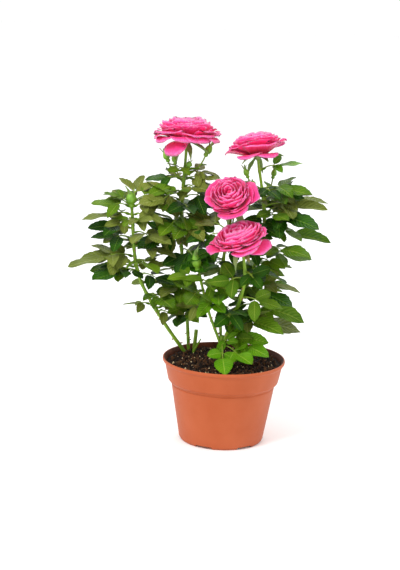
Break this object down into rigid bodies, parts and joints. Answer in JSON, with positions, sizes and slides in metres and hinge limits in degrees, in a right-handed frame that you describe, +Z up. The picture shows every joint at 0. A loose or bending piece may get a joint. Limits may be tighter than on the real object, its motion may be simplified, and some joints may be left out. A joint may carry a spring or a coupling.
{
  "type": "potted rose bush",
  "caption": "Small pot-grown rose bush in bloom: open pink rosettes and leafy green canes over dark compost in a round terracotta-coloured plastic pot with a collar.",
  "frame": {"origin": "centre of the flat underside of the pot, at floor level", "axes": "+Z up along the pot's axis, -Y towards the front, +X to the right seen from the front"},
  "size_m": [0.2548, 0.1566, 0.3143],
  "materials": {
    "pot": "moulded terracotta-coloured plastic, satin",
    "compost": "damp peat and bark compost, matt",
    "canes": "smooth green bark",
    "foliage": "semi-gloss upper side, matt paler underside",
    "blooms": "soft velvety petals"
  },
  "bodies": {
    "root": {"bloom_centre": "blooms", "bloom_front": "blooms", "bloom_right": "blooms", "bloom_tall": "blooms", "cane_centre": "canes", "cane_front": "canes", "cane_left": "canes", "cane_mid": "canes", "cane_right": "canes", "cane_tall": "canes", "compost": "compost", "leaves_centre_1": "foliage", "leaves_centre_2": "foliage", "leaves_centre_3": "foliage", "leaves_centre_4": "foliage", "leaves_centre_5": "foliage", "leaves_left_1": "foliage", "leaves_left_10": "foliage", "leaves_left_11": "foliage", "leaves_left_2": "foliage", "leaves_left_3": "foliage", "leaves_left_4": "foliage", "leaves_left_5": "foliage", "leaves_left_6": "foliage", "leaves_left_7": "foliage", "leaves_left_8": "foliage", "leaves_left_9": "foliage", "leaves_low_1": "foliage", "leaves_low_2": "foliage", "leaves_low_3": "foliage", "leaves_mid_1": "foliage", "leaves_right_1": "foliage", "leaves_right_10": "foliage", "leaves_right_11": "foliage", "leaves_right_12": "foliage", "leaves_right_13": "foliage", "leaves_right_14": "foliage", "leaves_right_15": "foliage", "leaves_right_16": "foliage", "leaves_right_2": "foliage", "leaves_right_3": "foliage", "leaves_right_4": "foliage", "leaves_right_5": "foliage", "leaves_right_6": "foliage", "leaves_right_7": "foliage", "leaves_right_8": "foliage", "leaves_right_9": "foliage", "leaves_tall_1": "foliage", "leaves_tall_10": "foliage", "leaves_tall_11": "foliage", "leaves_tall_2": "foliage", "leaves_tall_3": "foliage", "leaves_tall_4": "foliage", "leaves_tall_5": "foliage", "leaves_tall_6": "foliage", "leaves_tall_7": "foliage", "leaves_tall_8": "foliage", "leaves_tall_9": "foliage", "pot": "pot", "stock": "canes"}
  },
  "joints": []
}
